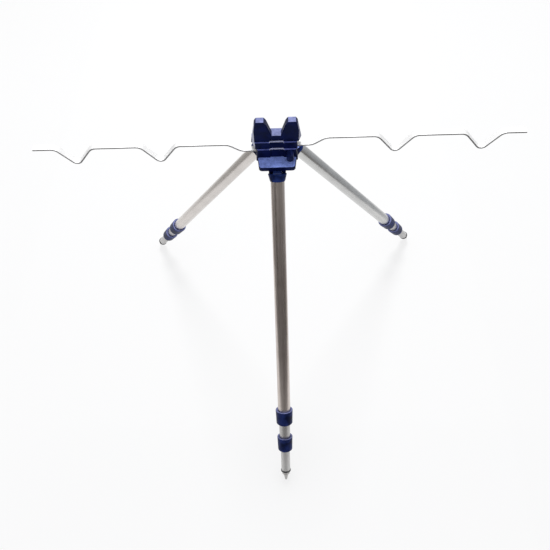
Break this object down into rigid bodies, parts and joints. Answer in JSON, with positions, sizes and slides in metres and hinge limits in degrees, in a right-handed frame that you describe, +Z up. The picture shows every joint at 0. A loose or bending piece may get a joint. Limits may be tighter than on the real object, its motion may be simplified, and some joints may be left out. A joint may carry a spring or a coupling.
{
  "type": "surf rod tripod",
  "caption": "Folding beach rod tripod: V rest head, pull-out dipped arms to both sides and telescopic twist-lock legs with spiked feet.",
  "frame": {"origin": "on the ground at the middle of the bounding box, below the rear part of the head", "axes": "+Z up, the front leg points to -Y, the arms lie along X with the higher arm to +X"},
  "size_m": [0.8, 0.5983, 0.5667],
  "materials": {
    "navy_plastic": "glossy moulded dark navy",
    "leg_aluminium": "satin drawn tube",
    "arm_aluminium": "bright satin strip",
    "foot_metal": "turned",
    "black_plastic": "moulded",
    "screw_steel": "zinc plated",
    "insert_brass": "machined"
  },
  "bodies": {
    "head": {"base_block": "navy_plastic", "hinge_pins": "screw_steel", "middle_block": "navy_plastic", "v_rest_block": "navy_plastic", "head_screws": "screw_steel", "head_nuts": "screw_steel", "clamp_inserts": "insert_brass"},
    "right_arm": {"right_arm": "arm_aluminium"},
    "left_arm": {"left_arm": "arm_aluminium"},
    "front_knob": {"front_clamp_knob": "navy_plastic"},
    "rear_knob": {"rear_clamp_knob": "navy_plastic"},
    "front_leg": {"front_knuckle": "navy_plastic", "front_main_tube": "leg_aluminium", "front_upper_sleeve": "black_plastic"},
    "front_upper_lock": {"front_upper_collar": "navy_plastic", "front_upper_bush": "black_plastic"},
    "front_mid": {"front_mid_tube": "leg_aluminium", "front_mid_plug": "black_plastic", "front_lower_sleeve": "black_plastic"},
    "front_lower_lock": {"front_lower_collar": "navy_plastic", "front_lower_bush": "black_plastic"},
    "front_lower": {"front_lower_tube": "leg_aluminium", "front_lower_plug": "black_plastic", "front_foot_ring": "black_plastic", "front_foot_spike": "foot_metal"},
    "rear_right_leg": {"rear_right_knuckle": "navy_plastic", "rear_right_main_tube": "leg_aluminium", "rear_right_upper_sleeve": "black_plastic"},
    "rear_right_upper_lock": {"rear_right_upper_collar": "navy_plastic", "rear_right_upper_bush": "black_plastic"},
    "rear_right_mid": {"rear_right_mid_tube": "leg_aluminium", "rear_right_mid_plug": "black_plastic", "rear_right_lower_sleeve": "black_plastic"},
    "rear_right_lower_lock": {"rear_right_lower_collar": "navy_plastic", "rear_right_lower_bush": "black_plastic"},
    "rear_right_lower": {"rear_right_lower_tube": "leg_aluminium", "rear_right_lower_plug": "black_plastic", "rear_right_foot_ring": "black_plastic", "rear_right_foot_spike": "foot_metal"},
    "rear_left_leg": {"rear_left_knuckle": "navy_plastic", "rear_left_main_tube": "leg_aluminium", "rear_left_upper_sleeve": "black_plastic"},
    "rear_left_upper_lock": {"rear_left_upper_collar": "navy_plastic", "rear_left_upper_bush": "black_plastic"},
    "rear_left_mid": {"rear_left_mid_tube": "leg_aluminium", "rear_left_mid_plug": "black_plastic", "rear_left_lower_sleeve": "black_plastic"},
    "rear_left_lower_lock": {"rear_left_lower_collar": "navy_plastic", "rear_left_lower_bush": "black_plastic"},
    "rear_left_lower": {"rear_left_lower_tube": "leg_aluminium", "rear_left_lower_plug": "black_plastic", "rear_left_foot_ring": "black_plastic", "rear_left_foot_spike": "foot_metal"}
  },
  "joints": [
    {"name": "right_arm_pull", "type": "slide", "parent": "head", "child": "right_arm", "axis": [1, 0, 0], "range_m": [0, 0.055]},
    {"name": "left_arm_pull", "type": "slide", "parent": "head", "child": "left_arm", "axis": [-1, 0, 0], "range_m": [0, 0.055]},
    {"name": "front_knob_turn", "type": "hinge", "parent": "head", "child": "front_knob", "pos_m": [0.0215, 0.06459, 0.50946], "axis": [0, -1, 0], "range_deg": [0, 720]},
    {"name": "rear_knob_turn", "type": "hinge", "parent": "head", "child": "rear_knob", "pos_m": [-0.0215, 0.09309, 0.51906], "axis": [0, 1, 0], "range_deg": [0, 720]},
    {"name": "front_fold", "type": "hinge", "parent": "head", "child": "front_leg", "pos_m": [0, 0.05109, 0.48721], "axis": [1, 0, 0], "range_deg": [0, 34.5]},
    {"name": "front_upper_twist", "type": "hinge", "parent": "front_leg", "child": "front_upper_lock", "pos_m": [0, -0.21113, 0.12685], "axis": [0, -0.5664, -0.8241], "range_deg": [0, 120]},
    {"name": "front_mid_extend", "type": "slide", "parent": "front_leg", "child": "front_mid", "axis": [0, -0.5664, -0.8241], "range_m": [0, 0.31]},
    {"name": "front_lower_twist", "type": "hinge", "parent": "front_mid", "child": "front_lower_lock", "pos_m": [0, -0.24342, 0.07988], "axis": [0, -0.5664, -0.8241], "range_deg": [0, 120]},
    {"name": "front_lower_extend", "type": "slide", "parent": "front_mid", "child": "front_lower", "axis": [0, -0.5664, -0.8241], "range_m": [0, 0.34]},
    {"name": "rear_right_fold", "type": "hinge", "parent": "head", "child": "rear_right_leg", "pos_m": [0.02103, 0.09237, 0.48721], "axis": [-0.5878, 0.809, 0], "range_deg": [0, 34.5]},
    {"name": "rear_right_upper_twist", "type": "hinge", "parent": "rear_right_leg", "child": "rear_right_upper_lock", "pos_m": [0.23318, 0.24651, 0.12685], "axis": [0.4582, 0.3329, -0.8241], "range_deg": [0, 120]},
    {"name": "rear_right_mid_extend", "type": "slide", "parent": "rear_right_leg", "child": "rear_right_mid", "axis": [0.4582, 0.3329, -0.8241], "range_m": [0, 0.31]},
    {"name": "rear_right_lower_twist", "type": "hinge", "parent": "rear_right_mid", "child": "rear_right_lower_lock", "pos_m": [0.2593, 0.26548, 0.07988], "axis": [0.4582, 0.3329, -0.8241], "range_deg": [0, 120]},
    {"name": "rear_right_lower_extend", "type": "slide", "parent": "rear_right_mid", "child": "rear_right_lower", "axis": [0.4582, 0.3329, -0.8241], "range_m": [0, 0.34]},
    {"name": "rear_left_fold", "type": "hinge", "parent": "head", "child": "rear_left_leg", "pos_m": [-0.02103, 0.09237, 0.48721], "axis": [-0.5878, -0.809, 0], "range_deg": [0, 34.5]},
    {"name": "rear_left_upper_twist", "type": "hinge", "parent": "rear_left_leg", "child": "rear_left_upper_lock", "pos_m": [-0.23318, 0.24651, 0.12685], "axis": [-0.4582, 0.3329, -0.8241], "range_deg": [0, 120]},
    {"name": "rear_left_mid_extend", "type": "slide", "parent": "rear_left_leg", "child": "rear_left_mid", "axis": [-0.4582, 0.3329, -0.8241], "range_m": [0, 0.31]},
    {"name": "rear_left_lower_twist", "type": "hinge", "parent": "rear_left_mid", "child": "rear_left_lower_lock", "pos_m": [-0.2593, 0.26548, 0.07988], "axis": [-0.4582, 0.3329, -0.8241], "range_deg": [0, 120]},
    {"name": "rear_left_lower_extend", "type": "slide", "parent": "rear_left_mid", "child": "rear_left_lower", "axis": [-0.4582, 0.3329, -0.8241], "range_m": [0, 0.34]}
  ]
}
